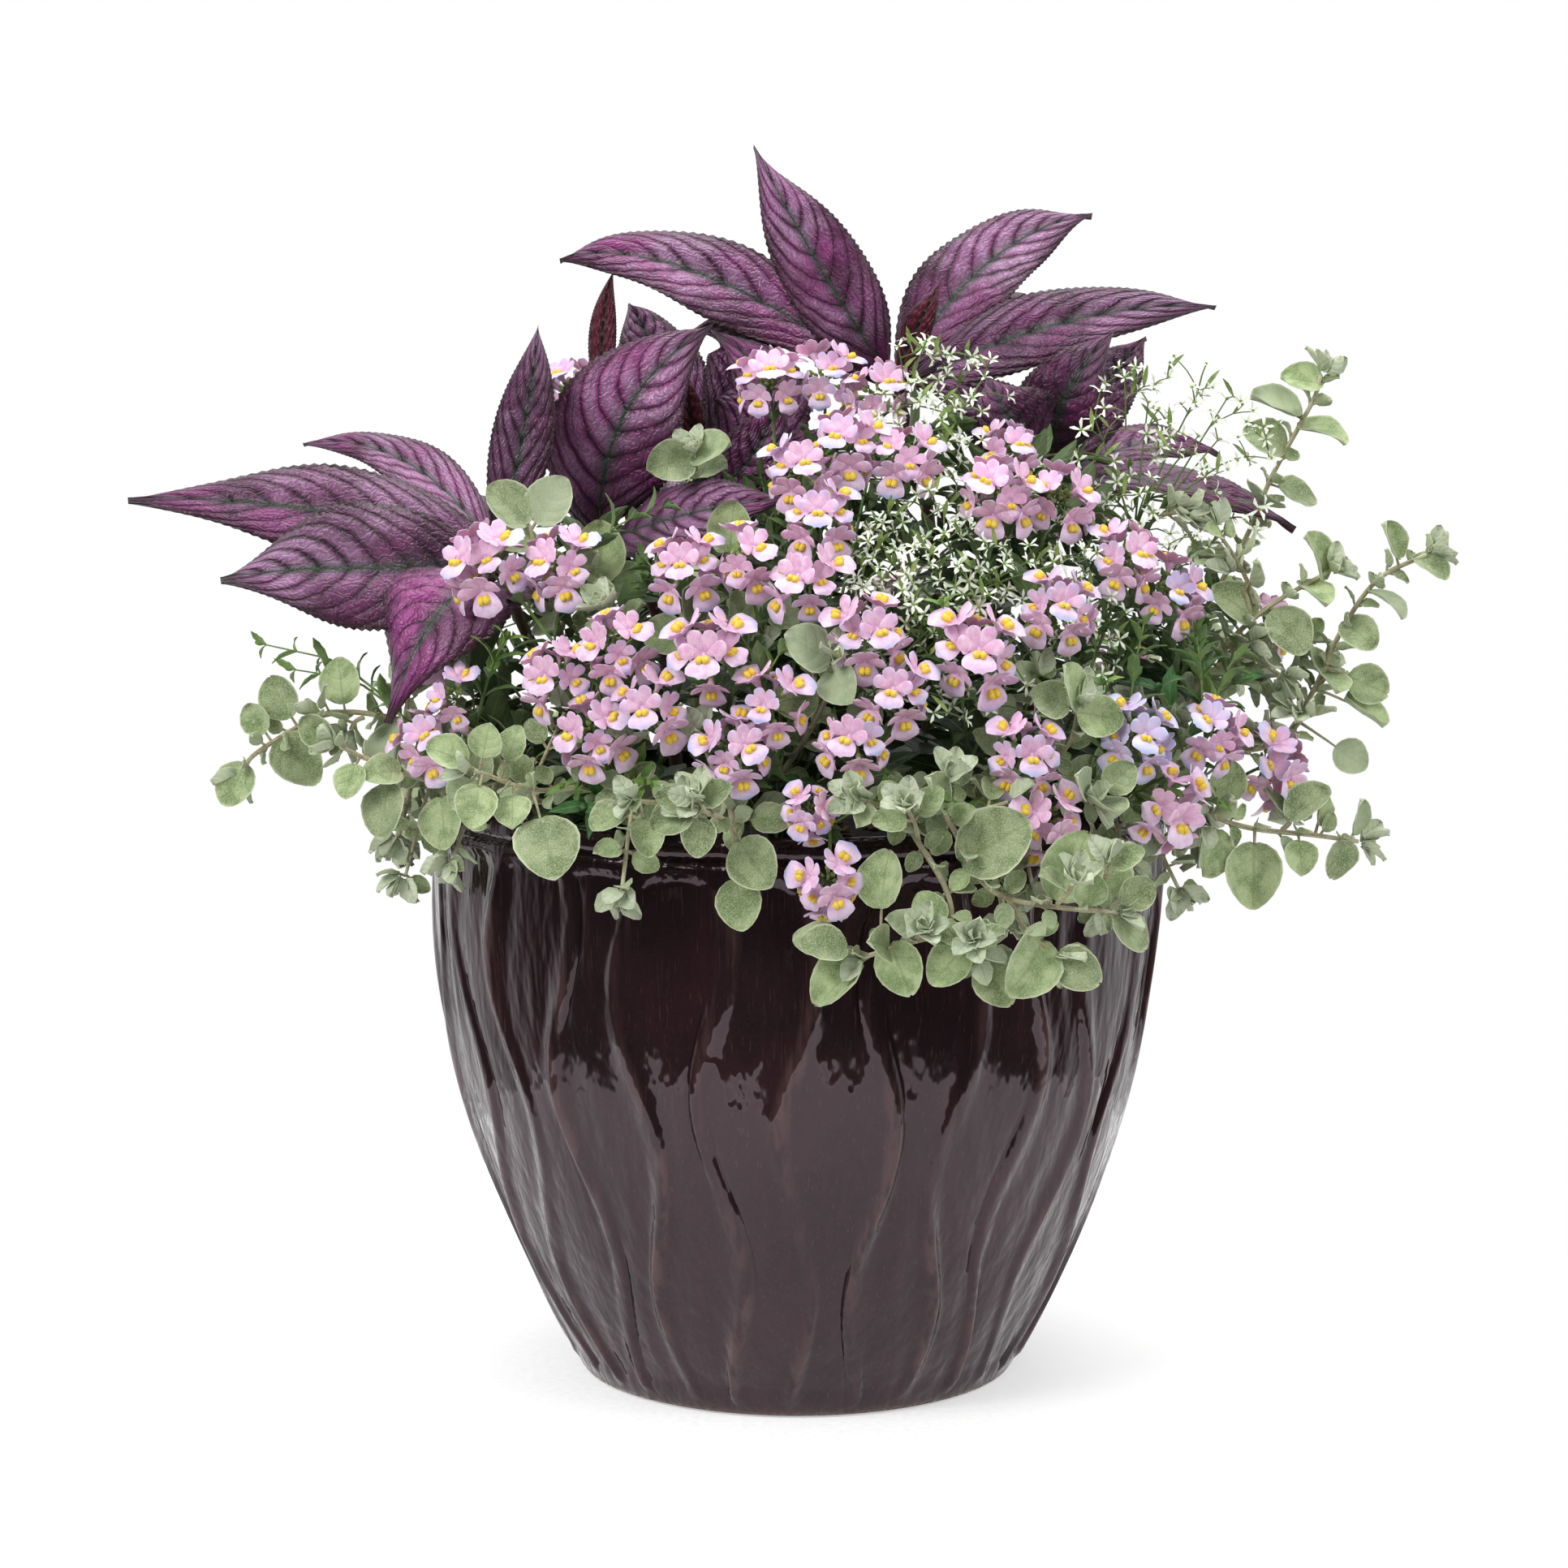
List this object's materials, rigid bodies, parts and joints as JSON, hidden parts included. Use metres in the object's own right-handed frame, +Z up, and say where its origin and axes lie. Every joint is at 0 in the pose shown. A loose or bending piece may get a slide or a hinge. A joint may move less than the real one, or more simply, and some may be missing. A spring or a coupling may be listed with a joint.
{
  "type": "potted nemesia",
  "caption": "Round wavy-ribbed glazed pot filled with pink nemesia heads, purple-leaved shoots, felted trailing stems with round leaves and fine white sprays.",
  "frame": {"origin": "centre of the pot's flat underside", "axes": "+Z up through the pot, -Y towards the front of the planting, +X to its right"},
  "size_m": [0.6263, 0.4607, 0.601],
  "materials": {
    "pot_glaze": "glossy dark aubergine glaze, browner on the rib crests",
    "potting_soil": "loose dark potting mix of peat and bark",
    "purple_leaf": "metallic purple blade between dark green veins, maroon underside",
    "nemesia_petal": "soft pink-lilac petals with a yellow throat",
    "green_leaf": "satin green stems and narrow leaves",
    "felted_leaf": "felted grey-green leaves with a pale rim",
    "white_bract": "thin white bracts on thread-like green twigs"
  },
  "bodies": {
    "root": {"flower_head_01": "nemesia_petal", "flower_head_02": "nemesia_petal", "flower_head_03": "nemesia_petal", "flower_head_04": "nemesia_petal", "flower_head_05": "nemesia_petal", "flower_head_06": "nemesia_petal", "flower_head_07": "nemesia_petal", "flower_head_08": "nemesia_petal", "flower_head_09": "nemesia_petal", "flower_head_10": "nemesia_petal", "flower_head_11": "nemesia_petal", "flower_head_12": "nemesia_petal", "flower_head_13": "nemesia_petal", "flower_head_14": "nemesia_petal", "flower_head_15": "nemesia_petal", "flower_head_16": "nemesia_petal", "flower_head_17": "nemesia_petal", "flower_head_18": "nemesia_petal", "flower_head_19": "nemesia_petal", "flower_head_20": "nemesia_petal", "flower_head_21": "nemesia_petal", "flower_head_22": "nemesia_petal", "flower_head_23": "nemesia_petal", "flower_head_24": "nemesia_petal", "flower_head_25": "nemesia_petal", "flower_head_26": "nemesia_petal", "flower_head_27": "nemesia_petal", "flower_head_28": "nemesia_petal", "flower_head_29": "nemesia_petal", "flower_head_30": "nemesia_petal", "flower_head_31": "nemesia_petal", "flower_head_32": "nemesia_petal", "flower_head_33": "nemesia_petal", "flower_head_34": "nemesia_petal", "flower_head_35": "nemesia_petal", "flower_head_36": "nemesia_petal", "flower_head_37": "nemesia_petal", "flower_head_38": "nemesia_petal", "nemesia_plant_back": "green_leaf", "nemesia_plant_centre": "green_leaf", "nemesia_plant_left": "green_leaf", "nemesia_plant_right": "green_leaf", "pot": "pot_glaze", "purple_shoot_back": "purple_leaf", "purple_shoot_left": "purple_leaf", "purple_shoot_middle": "purple_leaf", "purple_shoot_right": "purple_leaf", "soil": "potting_soil", "trailing_shoot_01": "felted_leaf", "trailing_shoot_02": "felted_leaf", "trailing_shoot_03": "felted_leaf", "trailing_shoot_04": "felted_leaf", "trailing_shoot_05": "felted_leaf", "trailing_shoot_06": "felted_leaf", "trailing_shoot_07": "felted_leaf", "trailing_shoot_08": "felted_leaf", "trailing_shoot_09": "felted_leaf", "trailing_shoot_10": "felted_leaf", "white_spray_middle": "white_bract", "white_spray_right": "white_bract"}
  },
  "joints": []
}
